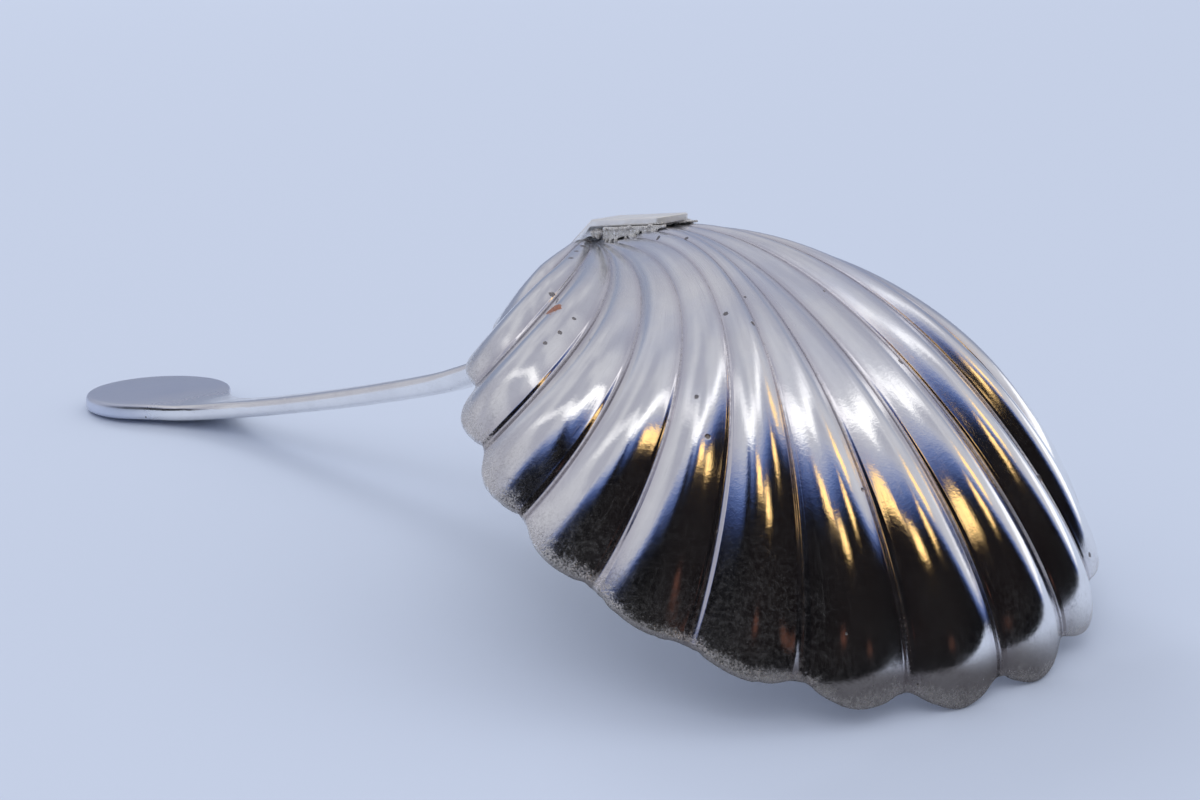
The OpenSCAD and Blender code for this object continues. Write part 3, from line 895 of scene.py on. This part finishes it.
# From the dark side up to the backdrop: (height above the dark's top, colour)
BACKDROP = ((-6, (0.002, 0.002, 0.003)), (-1, (0.006, 0.009, 0.02)), (3, (0.03, 0.05, 0.15)),
            (7, (0.11, 0.17, 0.4)), (11, (0.34, 0.38, 0.55)), (16, (0.53, 0.54, 0.61)),
            (28, (0.6, 0.61, 0.67)), (60, (0.56, 0.57, 0.63)))
BACKDROP_LOWEST, BACKDROP_SPAN = -30, 90
BACKDROP_GREY, LOW_BACK_BLUE, WARM_DARK = (0.41, 0.42, 0.5), (0.27, 0.31, 0.43), (0.005, 0.0035, 0.004)

# The gold lamps (azimuth, half width, softness) and small lights ((azimuth, height), core, reach, colour)
RING_WHITE, GOLD = (1.3, 1.3, 1.33), (1.7, 1.1, 0.43)
GOLD_LAMPS = ((34, 6, 6), (55, 4, 5), (93, 2.5, 4), (116, 2, 3))
SMALL_LIGHTS = (((136, 1), 5, 13, (1.2, 1.22, 1.3)), ((22, 27), 1, 4, (0.1, 0.04, 0.028)),
                ((58, 14), 1, 4, (0.08, 0.035, 0.025)))


def aim_at(azimuth, height):
    azimuth, height = math.radians(azimuth), math.radians(height)
    level = Vector(NEAR).normalized() * math.cos(azimuth) + Vector(SIDE).normalized() * math.sin(azimuth)
    aim = level * math.cos(height)
    aim.z = math.sin(height)
    return aim


def make_room():
    """Pale all round for the eye and for the table. In the silver it shows what stood round the
    real spoon: a pale backdrop behind it, a bright lamp above, and a dark room with warm lamps on
    the near side."""
    world = bpy.data.worlds.new("studio")
    bpy.context.scene.world = world
    world.use_nodes = True
    world.node_tree.nodes.clear()
    wires = Wiring(world.node_tree)
    calc, step, product, total, towards = wires.calc, wires.step, wires.product, wires.total, wires.towards
    way = wires.add("ShaderNodeTexCoord").outputs["Generated"]
    height = calc("DEGREES", calc("ARCSINE", towards((0, 0, 1), way)))
    azimuth = calc("DEGREES", calc("ARCTAN2", towards(SIDE, way), towards(NEAR, way)))
    share_round = total(0.5, (azimuth, 1 / 360))

    def height_round(points):
        """A height in degrees that changes round the room."""
        node = wires.add("ShaderNodeFloatCurve")
        wires.feed(node.inputs["Value"], share_round)
        line = node.mapping.curves[0]
        while len(line.points) < len(points):
            line.points.new(0.5, 0.5)
        for point, (turn, rise) in zip(line.points, points):
            point.location = (turn / 360 + 0.5, (rise - LOWEST) / HEIGHT_SPAN)
        node.mapping.update()
        return total(LOWEST, (node.outputs["Value"], HEIGHT_SPAN))

    def band(value, middle, half, soft):
        far = calc("ABSOLUTE", calc("SUBTRACT", value, middle))
        return step(far, half + soft, half)

    above = calc("SUBTRACT", height, height_round(DARK_TOP))
    seen = wires.colour_stops(
        total(-BACKDROP_LOWEST / BACKDROP_SPAN, (above, 1 / BACKDROP_SPAN)),
        [((rise - BACKDROP_LOWEST) / BACKDROP_SPAN, colour) for rise, colour in BACKDROP])
    uneven = product(step(wires.noise(way, 2.2, detail=2.0, rough=0.5), 0.42, 0.62), step(above, 8, 24))
    low_back = product(step(towards(NEAR, way), -0.6, -0.9), step(height, 36, 16))
    ring = product(band(height, height_round(RING_HEIGHT), 2, 3.5), step(azimuth, -125, -105),
                   step(azimuth, 140, 115), total(0.5, (step(azimuth, -70, 0), 0.5)))
    warm = product(step(azimuth, -40, 30), step(above, 0, -8), step(height, 0, 25))
    lamps = 0.0
    for middle, half, soft in GOLD_LAMPS:
        lamps = calc("MAXIMUM", lamps, band(azimuth, middle, half, soft))
    gold = product(band(height, height_round(GOLD_HEIGHT), 2.5, 3), lamps)
    for mask, colour in ((uneven, BACKDROP_GREY), (low_back, LOW_BACK_BLUE), (ring, RING_WHITE),
                         (warm, WARM_DARK), (gold, GOLD)):
        seen = wires.mix(mask, seen, colour)
    for where, core, reach, colour in SMALL_LIGHTS:
        lit = step(towards(aim_at(*where), way), math.cos(math.radians(reach)), math.cos(math.radians(core)))
        seen = wires.mix(lit, seen, colour)

    room = wires.add("ShaderNodeBackground")
    wires.feed(room.inputs["Color"], wires.mix(step(towards(NEAR, way), 0.1, 0.65), ROOM_PALE, ROOM_AHEAD))
    wires.feed(room.inputs["Strength"], ROOM_STRENGTH)
    mirror = wires.add("ShaderNodeBackground")
    wires.feed(mirror.inputs["Color"], seen)
    join = wires.add("ShaderNodeMixShader")
    wires.feed(join.inputs["Fac"], wires.add("ShaderNodeLightPath").outputs["Is Glossy Ray"])
    wires.feed(join.inputs[1], room.outputs["Background"])
    wires.feed(join.inputs[2], mirror.outputs["Background"])
    wires.feed(wires.add("ShaderNodeOutputWorld").inputs["Surface"], join.outputs["Shader"])


make_room()


def soft_lamp(name, place, aim, side, watts, colour):
    """A square lamp that lights the table and the spoon, but isn't mirrored in the silver."""
    nothing_selected()
    bpy.ops.object.light_add(type="AREA", location=place)
    lamp = bpy.context.object
    lamp.name = name
    lamp.data.shape = "SQUARE"
    lamp.data.size = side
    lamp.data.energy = watts
    lamp.data.color = colour
    lamp.rotation_euler = (Vector(aim) - Vector(place)).to_track_quat("-Z", "Y").to_euler()
    lamp.visible_glossy = False


soft_lamp("window", (-1.9, 0.6, 1.15), (0, 0, 0), 0.8, 13, (1, 0.99, 0.97))
soft_lamp("fill", (1.1, -1.0, 1.3), BOWL_MIDDLE, 1.2, 9, (1, 1, 1))

# The camera, where the photo was taken from
CAMERA_PLACE = (0.183107, -0.151298, 0.071993)
CAMERA_RIGHT, CAMERA_BACK = (0.67182, 0.7407, 0.00469), (0.71706, -0.65194, 0.24658)
FOCAL_PX, PHOTO_W_PX, SENSOR_W = 2595.46, 1200, 36

camera_data = bpy.data.cameras.new("photo_view")
camera_data.sensor_width = SENSOR_W
camera_data.lens = SENSOR_W * FOCAL_PX / PHOTO_W_PX
camera_data.clip_start = 0.01
camera_data.clip_end = 20
camera = bpy.data.objects.new("photo_view", camera_data)
bpy.context.scene.collection.objects.link(camera)
back = Vector(CAMERA_BACK).normalized()
up = back.cross(Vector(CAMERA_RIGHT).normalized()).normalized()
turn = Matrix((up.cross(back), up, back)).transposed().to_4x4()
camera.matrix_world = Matrix.Translation(CAMERA_PLACE) @ turn
bpy.context.scene.camera = camera

bpy.context.scene.view_settings.view_transform = "Standard"
